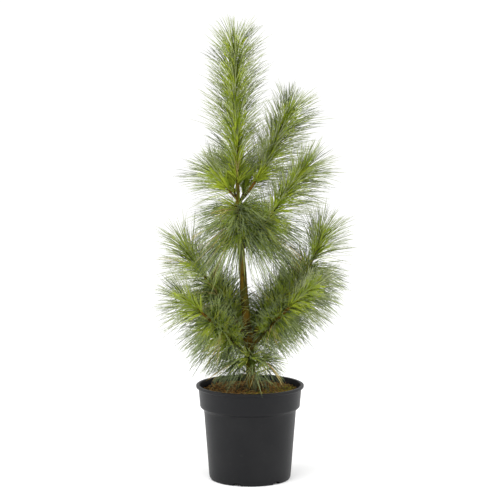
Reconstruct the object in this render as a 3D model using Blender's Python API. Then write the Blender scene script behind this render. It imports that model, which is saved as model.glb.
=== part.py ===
"""Potted stone pine: a young five-needled pine about 0.82 m tall, standing in its black nursery pot.

Metres, +Z up, +X to the right and -Y to the front. The origin is the centre of the pot's flat
underside. An azimuth is measured from +X towards +Y, so 90 points to the back.

The trunk leans a little and runs whole from the soil to the bud of its leader. Each bough leaves
it at a height of its own and climbs by three rises. A mass of needles is a slim stem, or a sleeve
round the trunk, with sprays that stand out of it by a seeded rule: each spray is one bundle of
needles. Neighbouring solids keep 0.3 mm clear of each other.
"""

import math

import bmesh
import bpy
import numpy as np
from mathutils import Vector

GAP = 0.0003
MILLIMETRE = 0.001

# Pot: a lip round the mouth, a deeper collar, a shoulder, and a body that narrows to the foot.
POT_HEIGHT = 0.168
POT_SIDES = 36
LIP_RADIUS = 0.095
LIP_DEPTH = 0.006
COLLAR_TOP_RADIUS = 0.0908
COLLAR_FOOT_RADIUS = 0.0884
COLLAR_FOOT_HEIGHT = 0.132
SHOULDER_FOOT_HEIGHT = 0.124
BODY_TOP_RADIUS = 0.0818
BODY_FOOT_RADIUS = 0.0706
FOOT_ROUNDING = 0.004
POT_WALL = 0.002
POT_FLOOR = 0.0025

# Drain holes: arches cut through the edge of the foot.
DRAIN_COUNT = 6
DRAIN_AZIMUTH = 251.0
DRAIN_HALF_WIDTH = 0.008
DRAIN_HEIGHT = 0.0055
DRAIN_INNER_RADIUS = 0.058

# Soil: a plug that fills the pot, heaped a little towards the trunk.
SOIL_TOP = 0.160
SOIL_EDGE_DROP = 0.003
SOIL_CROWN_RADIUS = 0.024

# Trunk: its lean fades with height; the leader above the top whorl is thinner.
TRUNK_SIDES = 10
TRUNK_CLEARANCE = 0.0004
TRUNK_FOOT_X = 0.005
TRUNK_LEAN = 0.104
TRUNK_UPRIGHT_RISE = 0.60
TRUNK_BOW = 0.004
TRUNK_FOOT_RADIUS = 0.0084
TRUNK_HEAD_RADIUS = 0.0050
ROOT_FLARE = 0.0035
ROOT_FLARE_RISE = 0.011
LOW_WHORL = 0.236
LOW_WHORL_SWELL = 0.0008
LOW_WHORL_SPREAD = 0.016
TOP_WHORL = 0.488
TOP_WHORL_SWELL = 0.0014
TOP_WHORL_SPREAD = 0.007
LEADER_FOOT_RADIUS = 0.0031
LEADER_TIP_RADIUS = 0.0023
LEADER_TOP = 0.756
BUD_LENGTH = 0.006
FLARE_RINGS = (0.0, 0.004, 0.010, 0.020, 0.036)
LOW_WHORL_RINGS = (-0.018, -0.006, 0.006, 0.018)
BARE_RINGS = (0.290, 0.333, 0.375, 0.418, 0.460)
TOP_WHORL_RINGS = (-0.010, -0.004, 0.0, 0.004, 0.008, 0.014)
LEADER_RINGS = (0.530, 0.575, 0.620, 0.665, 0.710)

BOUGH_SIDES = 6
BOUGH_RINGS = 5
STEM_SIDES = 4
STEM_RINGS = 4
SLEEVE_SIDES = 6
AXIS_SAMPLES = 60

# Needles, for each kind: how far they lean off the stem and how much they sag, at the lower and
# the upper end of a stretch; how much closer to the stem its upper side holds them; how much they
# curl outwards; their length, the length of stem that each has, and how thick the stem swells
# where they crowd. A sleeve's wall stands off the trunk. Arched ones have a waist to bend at.
FRESH = {"lean": (34.0, 26.0), "sag": (0.20, 0.14), "lift": 0.5, "curl": 0.10, "arched": False,
         "length": 0.076, "pitch": 0.00124, "stem": 0.0042}
OLD = {"lean": (62.0, 54.0), "sag": (0.36, 0.28), "lift": 0.35, "curl": 0.0, "arched": False,
       "length": 0.080, "pitch": 0.0015, "stem": 0.0034}
LEADER = {"lean": (35.0, 25.0), "sag": (0.17, 0.12), "lift": 0.0, "curl": 0.12, "arched": False,
          "length": 0.076, "pitch": 0.00108, "wall": 0.0037}
SKIRT = {"lean": (84.0, 58.0), "sag": (0.62, 0.34), "lift": 0.0, "curl": 0.0, "arched": True,
         "length": 0.088, "pitch": 0.00080, "wall": 0.0034}
KINDS = {"fresh": FRESH, "old": OLD, "skirt": SKIRT, "leader": LEADER}
GOLDEN_ANGLE = math.pi * (3.0 - math.sqrt(5.0))
TUFT_RUN = 0.022
TUFT_CLOSING = 0.8
LEAN_SCATTER = 5.0
TURN_SCATTER = 7.0
LENGTH_SCATTER = 0.07
SPRAY_RADIUS = 0.0015
SPRAY_WAIST = 0.45
SPRAY_SIDES = 3
SPRAY_END_MARGIN = 0.003
SPRAY_CLEARANCE = 0.0004
SPRAY_TRIES = 4
TRUNK_OWNER = 0
LIMB_OWNER = 1

# Boughs: foot height, azimuth, rises at foot, middle and tip, length, radii at foot and tip, and
# the stretches that carry needles, as kind, start and end along the bough and share of their length.
BOUGHS = {
    "top_right": (0.488, 14, (46, 64, 66), 0.178, (0.0026, 0.0019), (("fresh", 0.040, 0.178, 1.0),)),
    "top_left": (0.491, 172, (45, 54, 52), 0.060, (0.0021, 0.0016), (("fresh", 0.018, 0.060, 0.95),)),
    "top_back": (0.486, 58, (45, 55, 60), 0.060, (0.0020, 0.0016), (("fresh", 0.018, 0.060, 0.9),)),
    "top_back_left": (0.485, 118, (48, 60, 62), 0.066, (0.0020, 0.0016),
                      (("fresh", 0.018, 0.066, 0.9),)),
    "middle_right": (0.406, -12, (42, 58, 50), 0.181, (0.0028, 0.0019),
                     (("old", 0.020, 0.080, 1.1), ("fresh", 0.080, 0.181, 0.95))),
    "left_upper": (0.247, 160, (57, 50, 56), 0.192, (0.0030, 0.0020),
                   (("old", 0.040, 0.120, 1.0), ("fresh", 0.130, 0.192, 0.92))),
    "left_lower": (0.2145, 205, (44, 44, 36), 0.164, (0.0032, 0.0021),
                   (("old", 0.030, 0.104, 0.93), ("fresh", 0.124, 0.164, 0.85))),
    "right_upper": (0.245, 15, (50, 44, 76), 0.222, (0.0033, 0.0021),
                    (("old", 0.046, 0.174, 0.92), ("fresh", 0.182, 0.222, 0.95))),
    "right_lower": (0.229, -25, (47, 46, 38), 0.172, (0.0032, 0.0021),
                    (("old", 0.034, 0.096, 0.65), ("fresh", 0.104, 0.172, 0.85))),
    "back_right": (0.236, 55, (48, 42, 40), 0.142, (0.0026, 0.0019),
                   (("old", 0.034, 0.092, 0.9), ("fresh", 0.092, 0.142, 0.9))),
    "back_left": (0.236, 125, (48, 42, 40), 0.138, (0.0024, 0.0018),
                  (("old", 0.030, 0.098, 1.0), ("fresh", 0.098, 0.138, 0.8))),
    "back": (0.217, 92, (30, 25, 20), 0.092, (0.0022, 0.0018), (("old", 0.028, 0.092, 0.9),)),
    "foot_left": (0.200, 232, (24, 16, 8), 0.050, (0.0021, 0.0017), (("old", 0.018, 0.050, 0.65),)),
    "foot_right": (0.203, -58, (24, 16, 8), 0.050, (0.0021, 0.0017), (("old", 0.018, 0.050, 0.65),)),
    "foot_front": (0.214, 268, (18, 10, 4), 0.052, (0.0021, 0.0017), (("old", 0.018, 0.052, 0.85),)),
}

# Sleeves of needles round the trunk: kind, lower and upper height, and whether it ends in a tuft.
SLEEVES = {
    "needles_leader": ("leader", 0.517, 0.754, True),
    "needles_trunk_skirt": ("skirt", 0.424, 0.480, False),
    "needles_trunk_foot": ("skirt", 0.172, 0.189, False),
}

COLOURS = {
    "pot": (0.030, 0.032, 0.034),
    "soil": (0.110, 0.062, 0.025),
    "bark": (0.190, 0.095, 0.035),
    "fresh": (0.130, 0.210, 0.028),
    "old": (0.065, 0.130, 0.045),
}


def plain_material(name, roughness):
    """A Principled BSDF of one of the colours above."""
    material = bpy.data.materials.new(name)
    material.use_nodes = True
    shader = material.node_tree.nodes["Principled BSDF"]
    shader.inputs["Base Color"].default_value = (*COLOURS[name], 1.0)
    shader.inputs["Roughness"].default_value = roughness
    shader.inputs["Metallic"].default_value = 0.0
    return material


def add_object(name, mesh, material, smooth_angle=None):
    """An object of this mesh at the origin, shaded smooth up to the angle if one is given."""
    if material:
        mesh.materials.append(material)
    if smooth_angle:
        mesh.shade_smooth()
        mesh.set_sharp_from_angle(angle=math.radians(smooth_angle))
    solid = bpy.data.objects.new(name, mesh)
    bpy.context.scene.collection.objects.link(solid)
    return solid


def add_solid(name, points, faces, material, smooth_angle=None):
    """An object made of these points and faces."""
    mesh = bpy.data.meshes.new(name)
    mesh.from_pydata([tuple(point) for point in points], [], faces)
    return add_object(name, mesh, material, smooth_angle)


def mesh_from(name, shape):
    """The mesh of a finished bmesh, its faces pointing out."""
    bmesh.ops.recalc_face_normals(shape, faces=shape.faces)
    mesh = bpy.data.meshes.new(name)
    shape.to_mesh(mesh)
    shape.free()
    return mesh


def make_cutter(cutter):
    """Marks a solid that only cuts others."""
    cutter.hide_render = True
    cutter.display_type = "WIRE"
    return cutter


def cut(solid, cutter):
    """Takes the cutter's space out of the solid."""
    difference = solid.modifiers.new("clear_of_" + cutter.name, "BOOLEAN")
    difference.operation = "DIFFERENCE"
    difference.object = cutter
    return difference


def unit(vectors):
    """The vectors, each scaled to a length of one."""
    return vectors / np.linalg.norm(vectors, axis=-1, keepdims=True)


def side_vectors(axis):
    """Two unit vectors at each point of an axis, square to it, that don't twist along it."""
    ahead = unit(np.gradient(axis, axis=0))
    side = np.cross(ahead[0], (0.0, 1.0, 0.0) if abs(ahead[0][1]) < 0.8 else (1.0, 0.0, 0.0))
    firsts = []
    for direction in ahead:
        side = unit(side - direction * np.dot(side, direction))
        firsts.append(side)
    firsts = np.array(firsts)
    return ahead, firsts, np.cross(ahead, firsts)


def ring_faces(rings, sides):
    """Faces of a tube whose rings of points follow each other, without its ends."""
    faces = []
    for ring in range(rings - 1):
        for side in range(sides):
            after = (side + 1) % sides
            low, high = ring * sides, (ring + 1) * sides
            faces.append((low + side, low + after, high + after, high + side))
    return faces


def tube(axis, radii, sides, pointed=False, level=False):
    """A round tube along an axis: a ring at each point, flat ends, or a last point past the end.
    Its rings are square to the axis, or all level."""
    ahead, first, second = side_vectors(axis)
    if level:
        ahead, first, second = (np.tile(row, (len(axis), 1)) for row in np.eye(3)[[2, 0, 1]])
    turn = np.linspace(0.0, 2.0 * math.pi, sides, endpoint=False)
    spokes = (np.cos(turn)[:, None] * first[:, None, :] + np.sin(turn)[:, None] * second[:, None, :])
    points = (axis[:, None, :] + radii[:, None, None] * spokes).reshape(-1, 3)
    faces = ring_faces(len(axis), sides)
    faces.append(tuple(reversed(range(sides))))
    last = (len(axis) - 1) * sides
    if not pointed:
        faces.append(tuple(range(last, last + sides)))
        return points, faces
    tip = axis[-1] + ahead[-1] * radii[-1]
    faces += [(last + side, last + (side + 1) % sides, len(points)) for side in range(sides)]
    return np.vstack([points, tip]), faces


def turned(name, profile, sides):
    """A mesh spun about Z from radius and height pairs that run from the axis back to the axis."""
    shape = bmesh.new()
    points = [shape.verts.new((radius, 0.0, height)) for radius, height in profile]
    edges = [shape.edges.new(pair) for pair in zip(points, points[1:])]
    bmesh.ops.spin(shape, geom=points + edges, cent=(0.0, 0.0, 0.0), axis=(0.0, 0.0, 1.0),
                   angle=2.0 * math.pi, steps=sides)
    bmesh.ops.remove_doubles(shape, verts=shape.verts, dist=0.01 * MILLIMETRE)
    return mesh_from(name, shape)


def pot_inner_radius(height):
    """Radius of the pot's inner wall: the outer wall's, less its thickness."""
    outer = np.interp(height,
                      (0.0, SHOULDER_FOOT_HEIGHT, COLLAR_FOOT_HEIGHT, POT_HEIGHT),
                      (BODY_FOOT_RADIUS, BODY_TOP_RADIUS, COLLAR_FOOT_RADIUS, COLLAR_TOP_RADIUS))
    return outer - POT_WALL


def pot_profile():
    """Radius and height pairs of the pot, from the middle of its underside to that of its floor."""
    corner = BODY_FOOT_RADIUS - FOOT_ROUNDING
    rounding = [(corner + FOOT_ROUNDING * math.sin(turn), FOOT_ROUNDING * (1.0 - math.cos(turn)))
                for turn in np.radians((0.0, 40.0, 90.0))]
    lip_middle = POT_HEIGHT - LIP_DEPTH / 2.0
    outside = [
        (BODY_TOP_RADIUS, SHOULDER_FOOT_HEIGHT),
        (COLLAR_FOOT_RADIUS, COLLAR_FOOT_HEIGHT),
        (COLLAR_TOP_RADIUS, POT_HEIGHT - LIP_DEPTH),
        (LIP_RADIUS, lip_middle),
        (LIP_RADIUS - MILLIMETRE, POT_HEIGHT),
        (pot_inner_radius(POT_HEIGHT), POT_HEIGHT),
    ]
    inside = [(pot_inner_radius(height), height)
              for height in (COLLAR_FOOT_HEIGHT, SHOULDER_FOOT_HEIGHT, POT_FLOOR)]
    return [(0.0, 0.0), *rounding, *outside, *inside, (0.0, POT_FLOOR)]


def drain_cutter():
    """The arches that open the edge of the foot, evenly round it."""
    arch = [(DRAIN_HALF_WIDTH * math.cos(turn), DRAIN_HEIGHT * math.sin(turn))
            for turn in np.radians((0.0, 30.0, 60.0, 90.0, 120.0, 150.0, 180.0))]
    arch = [(DRAIN_HALF_WIDTH, -MILLIMETRE), *arch, (-DRAIN_HALF_WIDTH, -MILLIMETRE)]
    depth = BODY_FOOT_RADIUS + 2.0 * MILLIMETRE - DRAIN_INNER_RADIUS
    shape = bmesh.new()
    for hole in range(DRAIN_COUNT):
        turn = math.radians(DRAIN_AZIMUTH + hole * 360.0 / DRAIN_COUNT)
        outwards = Vector((math.cos(turn), math.sin(turn), 0.0))
        sideways = Vector((-math.sin(turn), math.cos(turn), 0.0))
        face = shape.faces.new([shape.verts.new(outwards * DRAIN_INNER_RADIUS + sideways * across
                                                + Vector((0.0, 0.0, height))) for across, height in arch])
        copied = bmesh.ops.extrude_face_region(shape, geom=[face], use_keep_orig=True)["geom"]
        far_side = [item for item in copied if isinstance(item, bmesh.types.BMVert)]
        bmesh.ops.translate(shape, vec=outwards * depth, verts=far_side)
    return make_cutter(add_object("drain_cutter", mesh_from("drain_cutter", shape), None))


def build_pot(material):
    """The pot, with its drain holes."""
    pot = add_object("pot", turned("pot", pot_profile(), POT_SIDES), material, smooth_angle=35.0)
    cut(pot, drain_cutter())
    return pot


def build_soil(material):
    """The soil, clear of the pot's wall and floor."""
    edge = SOIL_TOP - SOIL_EDGE_DROP
    floor = POT_FLOOR + GAP
    side = [(pot_inner_radius(height) - GAP, height)
            for height in (floor, SHOULDER_FOOT_HEIGHT, COLLAR_FOOT_HEIGHT, edge)]
    half_way = (SOIL_CROWN_RADIUS + side[-1][0]) / 2.0
    top = [(half_way, SOIL_TOP - SOIL_EDGE_DROP / 3.0), (SOIL_CROWN_RADIUS, SOIL_TOP)]
    profile = [(0.0, floor), *side, *top, (0.0, SOIL_TOP)]
    return add_object("soil", turned("soil", profile, POT_SIDES // 2), material)


def trunk_axis(height):
    """Centre of the trunk at a height: it leans to the left, less and less as it climbs."""
    rise = np.asarray(height, dtype=float) - SOIL_TOP
    lean = TRUNK_LEAN * rise * (1.0 - rise / (2.0 * TRUNK_UPRIGHT_RISE))
    bow = TRUNK_BOW * np.sin(math.pi * rise / TRUNK_UPRIGHT_RISE)
    return np.stack([TRUNK_FOOT_X - lean, bow, rise + SOIL_TOP], axis=-1)


def trunk_radius(height):
    """Radius of the trunk: a taper, a root flare, two swollen whorls and a thinner leader."""
    height = np.asarray(height, dtype=float)
    taper = np.interp(height,
                      (SOIL_TOP, TOP_WHORL, TOP_WHORL + TOP_WHORL_SPREAD, LEADER_TOP),
                      (TRUNK_FOOT_RADIUS, TRUNK_HEAD_RADIUS, LEADER_FOOT_RADIUS, LEADER_TIP_RADIUS))
    flare = ROOT_FLARE * np.exp((SOIL_TOP - height) / ROOT_FLARE_RISE)
    low = LOW_WHORL_SWELL * np.exp(-((height - LOW_WHORL) / LOW_WHORL_SPREAD) ** 2)
    top = TOP_WHORL_SWELL * np.exp(-((height - TOP_WHORL) / TOP_WHORL_SPREAD) ** 2)
    return taper + flare + low + top


def trunk_heights(low, high):
    """Heights of the trunk's rings between two heights, closer where its shape turns."""
    marks = np.concatenate([SOIL_TOP + GAP + np.array(FLARE_RINGS),
                            LOW_WHORL + np.array(LOW_WHORL_RINGS), BARE_RINGS,
                            TOP_WHORL + np.array(TOP_WHORL_RINGS), LEADER_RINGS])
    return np.array([low, *marks[(marks > low) & (marks < high)], high])


def build_trunk(material):
    """The trunk, from its flat cut on the soil to the bud of the leader."""
    heights = trunk_heights(SOIL_TOP + GAP, LEADER_TOP)
    axis = np.vstack([trunk_axis(heights), trunk_axis(LEADER_TOP + BUD_LENGTH / 2.0)])
    radii = np.append(trunk_radius(heights), LEADER_TIP_RADIUS * 0.8)
    trunk = tube(axis, radii, TRUNK_SIDES, pointed=True, level=True)
    return add_solid("trunk", *trunk, material, smooth_angle=50.0)


def trunk_clearance():
    """The space that boughs and needles leave free for the trunk."""
    heights = trunk_heights(SOIL_TOP, LEADER_TOP + BUD_LENGTH)
    wider = trunk_radius(heights) + TRUNK_CLEARANCE
    space = tube(trunk_axis(heights), wider, TRUNK_SIDES, level=True)
    return make_cutter(add_solid("trunk_clearance", *space, None))


def bough_axis(foot, azimuth, rises, length):
    """Points along a bough, evenly spaced: its rise turns from the first angle to the last."""
    along = np.linspace(0.0, 1.0, AXIS_SAMPLES)
    rise = np.radians(np.interp(along, (0.0, 0.5, 1.0), rises))
    turn = math.radians(azimuth)
    heading = np.stack([np.cos(rise) * math.cos(turn), np.cos(rise) * math.sin(turn), np.sin(rise)], axis=1)
    steps = 0.5 * (heading[1:] + heading[:-1]) * length / (AXIS_SAMPLES - 1)
    return trunk_axis(foot) + np.vstack([np.zeros(3), np.cumsum(steps, axis=0)])


def stretch(axis, length, start, end, count):
    """Points of an axis between two distances along it."""
    whole = np.linspace(0.0, length, len(axis))
    wanted = np.linspace(start, end, count)
    return np.stack([np.interp(wanted, whole, axis[:, i]) for i in range(3)], axis=1)


class Space:
    """The limbs, stems and sprays that stand already, as round-ended rods with an owner each."""

    def __init__(self):
        self.starts = np.empty((0, 3))
        self.ends = np.empty((0, 3))
        self.radii = np.empty(0)
        self.owners = np.empty(0, dtype=int)
        self.outer = np.empty(0, dtype=bool)

    def add(self, points, radii, owner, outer=None):
        """Adds the rods between points that follow each other."""
        count = len(points) - 1
        self.starts = np.vstack([self.starts, points[:-1]])
        self.ends = np.vstack([self.ends, points[1:]])
        self.radii = np.append(self.radii, np.maximum(radii[:-1], radii[1:]))
        self.owners = np.append(self.owners, np.full(count, owner))
        self.outer = np.append(self.outer, np.zeros(count, dtype=bool) if outer is None else outer)

    def distances(self, start, end):
        """Shortest distance from one rod's axis to each axis here, by clamping along both in turn."""
        own, theirs = end - start, self.ends - self.starts
        apart = start - self.starts
        own_square = own @ own
        their_square = np.einsum("ij,ij->i", theirs, theirs)
        shared = theirs @ own
        own_lead = apart @ own
        their_lead = np.einsum("ij,ij->i", theirs, apart)
        spread = np.maximum(own_square * their_square - shared * shared, 1e-18)
        on_own = np.clip((shared * their_lead - own_lead * their_square) / spread, 0.0, 1.0)
        on_theirs = np.clip((shared * on_own + their_lead) / their_square, 0.0, 1.0)
        on_own = np.clip((shared * on_theirs - own_lead) / own_square, 0.0, 1.0)
        gap = apart + on_own[:, None] * own - on_theirs[:, None] * theirs
        return np.linalg.norm(gap, axis=1)

    def takes(self, points, radii, own):
        """Whether a spray is clear of all that stands; its own mass counts only for its outer half."""
        others = ~np.isin(self.owners, own)
        for part in range(2):
            reach = self.radii + max(radii[part], radii[part + 1])
            distance = self.distances(points[part], points[part + 1])
            if np.any(others & (distance < reach + SPRAY_CLEARANCE)):
                return False
            if part and np.any(~others & self.outer & (distance < reach)):
                return False
        return True


def clear_of_pot(points):
    """Whether a spray stays above the soil and off the rim of the pot."""
    path = np.linspace(0.0, 1.0, 9)
    samples = np.stack([np.interp(path, (0.0, 0.5, 1.0), points[:, i]) for i in range(3)], axis=1)
    from_axis = np.hypot(samples[:, 0], samples[:, 1])
    inside = from_axis < pot_inner_radius(POT_HEIGHT) - 3.0 * MILLIMETRE
    floor = np.where(inside, SOIL_TOP + 2.0 * MILLIMETRE, POT_HEIGHT + 3.0 * MILLIMETRE)
    return bool(np.all(samples[:, 2] > floor))


def spray_points(root, heading, outwards, curl, sag, length):
    """Root, waist and tip of a spray: a straight flight plus a curl and a sag that grow squared."""
    flight = np.array((0.0, SPRAY_WAIST, 1.0))[:, None]
    bend = curl * outwards - sag * np.array((0.0, 0.0, 1.0))
    return root + length * (flight * heading + flight ** 2 * bend)


def grow_sprays(axis, kind, reach, own, tuft, space, seed):
    """Sprays round a stem, each a golden angle on from the last, where there is room for them."""
    rng = np.random.default_rng(seed)
    run = np.linalg.norm(np.diff(axis, axis=0), axis=1).sum()
    count = int(run / kind["pitch"])
    whole = np.linspace(0.0, run, len(axis))
    ahead, first, second = side_vectors(axis)
    radii = SPRAY_RADIUS * np.array((0.0, 1.0, 0.0) if kind["arched"] else (1.0, 1.0 - SPRAY_WAIST, 0.0))
    grown = []
    for index in range(count):
        share = (index + 0.5) / count
        along = SPRAY_END_MARGIN + share * (run - 2.0 * SPRAY_END_MARGIN)
        root, direction, left, up = (np.array([np.interp(along, whole, rows[:, i]) for i in range(3)])
                                     for rows in (axis, ahead, first, second))
        closing = 1.0 - TUFT_CLOSING * tuft * max(0.0, 1.0 - (run - along) / TUFT_RUN)
        sag = np.interp(share, (0.0, 1.0), kind["sag"])
        for attempt in range(SPRAY_TRIES):
            scatter = rng.normal(size=3)
            turn = index * GOLDEN_ANGLE + math.radians(TURN_SCATTER) * scatter[0] * (1 + attempt)
            outwards = unit(left * math.cos(turn) + up * math.sin(turn))
            lean = np.interp(share, (0.0, 1.0), kind["lean"]) * closing * (1.0 - kind["lift"] * outwards[2])
            lean = math.radians(lean + LEAN_SCATTER * scatter[1])
            length = kind["length"] * reach * (1.0 + LENGTH_SCATTER * float(np.clip(scatter[2], -1.5, 1.5)))
            heading = direction * math.cos(lean) + outwards * math.sin(lean)
            points = spray_points(root, heading, outwards, kind["curl"], sag, length)
            if not kind["arched"]:
                points[1] = points[0] + SPRAY_WAIST * (points[2] - points[0])
            if clear_of_pot(points) and space.takes(points, radii, own):
                space.add(points, radii, own[0], outer=np.array((False, True)))
                grown.append(points)
                break
    return grown


def blade(points, arched):
    """Points and faces of a spray: three-sided, from its waist to its root and its tip if it is
    arched, else straight from its root to its tip."""
    ahead, first, second = side_vectors(points)
    widest = 1 if arched else 0
    turn = np.linspace(0.0, 2.0 * math.pi, SPRAY_SIDES, endpoint=False)[:, None]
    ring = points[widest] + SPRAY_RADIUS * (np.cos(turn) * first[widest] + np.sin(turn) * second[widest])
    tip = SPRAY_SIDES
    faces = [(tip, side, (side + 1) % SPRAY_SIDES) for side in range(SPRAY_SIDES)]
    if arched:
        faces += [(tip + 1, (side + 1) % SPRAY_SIDES, side) for side in range(SPRAY_SIDES)]
        return np.vstack([ring, points[2], points[0]]), faces
    faces.append(tuple(reversed(range(SPRAY_SIDES))))
    return np.vstack([ring, points[2]]), faces


def fuse(stem, sprays, arched, clearance):
    """Joins the sprays to their stem in one Boolean union, takes out the trunk's space if it is
    given, and keeps the one outer surface."""
    bundle = bpy.data.collections.new(stem.name + "_sprays")
    scene_collection = bpy.context.scene.collection
    scene_collection.children.link(bundle)
    for number, points in enumerate(sprays):
        spray = add_solid(f"spray_{number}", *blade(points, arched), None)
        scene_collection.objects.unlink(spray)
        bundle.objects.link(spray)
    union = stem.modifiers.new("union", "BOOLEAN")
    union.operation = "UNION"
    union.operand_type = "COLLECTION"
    union.collection = bundle
    union.solver = "EXACT"
    if clearance:
        cut(stem, clearance)
    joined = bpy.data.meshes.new_from_object(stem.evaluated_get(bpy.context.evaluated_depsgraph_get()))
    stem.modifiers.clear()
    corners = np.empty(len(joined.vertices) * 3)
    joined.vertices.foreach_get("co", corners)
    faces = [tuple(face.vertices) for face in joined.polygons]
    corners, faces = largest_surface(corners.reshape(-1, 3), faces)
    whole = bpy.data.meshes.new(stem.name)
    whole.from_pydata([tuple(corner) for corner in corners], [], faces)
    whole.materials.append(stem.data.materials[0])
    stem.data = whole
    for spray in list(bundle.objects):
        bpy.data.objects.remove(spray)
    bpy.data.collections.remove(bundle)


def largest_surface(corners, faces):
    """The connected surface with the most points: a sealed hollow or a loose scrap is left out."""
    parent = list(range(len(corners)))

    def top(item):
        while parent[item] != item:
            parent[item] = parent[parent[item]]
            item = parent[item]
        return item

    for face in faces:
        for corner in face[1:]:
            parent[top(corner)] = top(face[0])
    tops = np.array([top(corner) for corner in range(len(corners))])
    names, counts = np.unique(tops, return_counts=True)
    kept = tops == names[np.argmax(counts)]
    number = np.cumsum(kept) - 1
    return corners[kept], [tuple(int(number[c]) for c in face) for face in faces if kept[face[0]]]


def stem_radii(bough_radius, swollen, through, count):
    """Radii of a mass's stem: it meets its bough at the bough's radius and swells where needles crowd."""
    along = np.linspace(0.0, 1.0, count)
    end = bough_radius if through else 0.6 * swollen
    return np.interp(along, (0.0, 0.12, 0.85, 1.0), (bough_radius, swollen, swollen, end))


def plan_boughs():
    """Every bough's bare limbs and needle stems, as name, kind, axis, radii and whether it ends free."""
    limbs, stems = [], []
    for name, (foot, azimuth, rises, length, radii, spans) in BOUGHS.items():
        axis = bough_axis(foot, azimuth, rises, length)
        start = 0.0
        for number, (kind, low, high, reach) in enumerate(spans):
            if low > start:
                ends = np.interp((start, low), (0.0, length), radii)
                place = "bough_" + name + ("_outer" if number else "")
                begin = start + (GAP / 2.0 if number else 0.0)
                limb = stretch(axis, length, begin, low - GAP / 2.0, BOUGH_RINGS)
                limbs.append((place, limb, np.linspace(*ends, BOUGH_RINGS)))
            through = number + 1 < len(spans)
            label = f"needles_{name}_{kind}" if len(spans) > 1 else f"needles_{name}"
            stem = stretch(axis, length, low + GAP / 2.0, high - GAP / 2.0, STEM_RINGS)
            radius = float(np.interp(low, (0.0, length), radii))
            stems.append((label, kind, reach, stem,
                          stem_radii(radius, KINDS[kind]["stem"], through, STEM_RINGS), not through))
            start = high
    return limbs, stems


def plan_sleeves():
    """The sleeves of needles round the trunk, in the same form as the stems."""
    sleeves = []
    for name, (kind, low, high, tuft) in SLEEVES.items():
        heights = np.linspace(low, high, STEM_RINGS)
        radii = trunk_radius(heights) + KINDS[kind]["wall"]
        sleeves.append((name, kind, 1.0, trunk_axis(heights), radii, tuft))
    return sleeves


def main():
    for item in list(bpy.data.objects):
        bpy.data.objects.remove(item, do_unlink=True)
    bark = plain_material("bark", 0.8)
    build_pot(plain_material("pot", 0.5))
    build_soil(plain_material("soil", 0.95))
    build_trunk(bark)
    clearance = trunk_clearance()

    space = Space()
    heights = trunk_heights(SOIL_TOP + GAP, LEADER_TOP)
    space.add(trunk_axis(heights), trunk_radius(heights), TRUNK_OWNER)
    limbs, stems = plan_boughs()
    masses = plan_sleeves() + stems
    for name, axis, radii in limbs:
        limb = add_solid(name, *tube(axis, radii, BOUGH_SIDES), bark, smooth_angle=50.0)
        if not name.endswith("_outer"):
            cut(limb, clearance)
        space.add(axis, radii, LIMB_OWNER)
    for owner, (name, kind, reach, axis, radii, free) in enumerate(masses, LIMB_OWNER + 1):
        space.add(axis, radii, owner)

    green = {kind: plain_material(kind, 0.5) for kind in ("fresh", "old")}
    for owner, (name, kind, reach, axis, radii, free) in enumerate(masses, LIMB_OWNER + 1):
        sleeve = name in SLEEVES
        sides = SLEEVE_SIDES if sleeve else STEM_SIDES
        shade = green["fresh" if kind in ("fresh", "leader") else "old"]
        stem = add_solid(name, *tube(axis, radii, sides, pointed=free and not sleeve), shade)
        own = (owner, TRUNK_OWNER) if sleeve else (owner,)
        sprays = grow_sprays(axis, KINDS[kind], reach, own, free, space, seed=owner)
        fuse(stem, sprays, KINDS[kind]["arched"], clearance if sleeve else None)
        print(name, len(sprays), "sprays", len(stem.data.polygons), "faces")


main()
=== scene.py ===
# %% [markdown]
# A potted stone pine: a young pine with needles in fives, in a black nursery pot.
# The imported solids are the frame. They fix the size and place of the trunk, the boughs, each mass
# of needles, the pot and the soil. This lesson dresses them, piece by piece, with finer surfaces
# and real finishes, and never moves a solid.
# %% Load the frame
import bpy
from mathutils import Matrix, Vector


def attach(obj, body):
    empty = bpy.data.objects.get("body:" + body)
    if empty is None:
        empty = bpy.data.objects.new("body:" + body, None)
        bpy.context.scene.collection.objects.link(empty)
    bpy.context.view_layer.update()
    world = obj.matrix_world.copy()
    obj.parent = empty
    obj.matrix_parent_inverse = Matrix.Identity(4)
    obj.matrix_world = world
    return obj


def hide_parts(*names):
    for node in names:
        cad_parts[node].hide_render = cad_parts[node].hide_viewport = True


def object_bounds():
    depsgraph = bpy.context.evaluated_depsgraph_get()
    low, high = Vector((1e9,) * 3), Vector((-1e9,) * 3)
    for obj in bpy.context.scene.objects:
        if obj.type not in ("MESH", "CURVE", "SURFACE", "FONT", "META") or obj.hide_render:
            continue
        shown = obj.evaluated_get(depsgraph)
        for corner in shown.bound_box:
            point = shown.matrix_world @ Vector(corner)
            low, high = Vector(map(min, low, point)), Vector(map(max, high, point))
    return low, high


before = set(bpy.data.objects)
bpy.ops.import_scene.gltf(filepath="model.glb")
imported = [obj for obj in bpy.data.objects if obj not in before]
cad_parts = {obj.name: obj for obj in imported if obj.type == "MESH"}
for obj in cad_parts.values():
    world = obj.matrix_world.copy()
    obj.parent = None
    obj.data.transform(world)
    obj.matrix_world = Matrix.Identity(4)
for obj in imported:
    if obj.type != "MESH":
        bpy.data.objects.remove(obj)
cad_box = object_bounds()
print("solids", len(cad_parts), "box", cad_box)

# %% [markdown]
# Blender's own module makes the objects and finishes, and numpy works out their points. Named
# tuples keep the numbers of a bough or a kind of needles together.
# %% The modules that the lesson uses
import math
from collections import namedtuple

import bpy
import numpy as np

print("Blender", bpy.app.version_string, "numpy", np.__version__)

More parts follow.
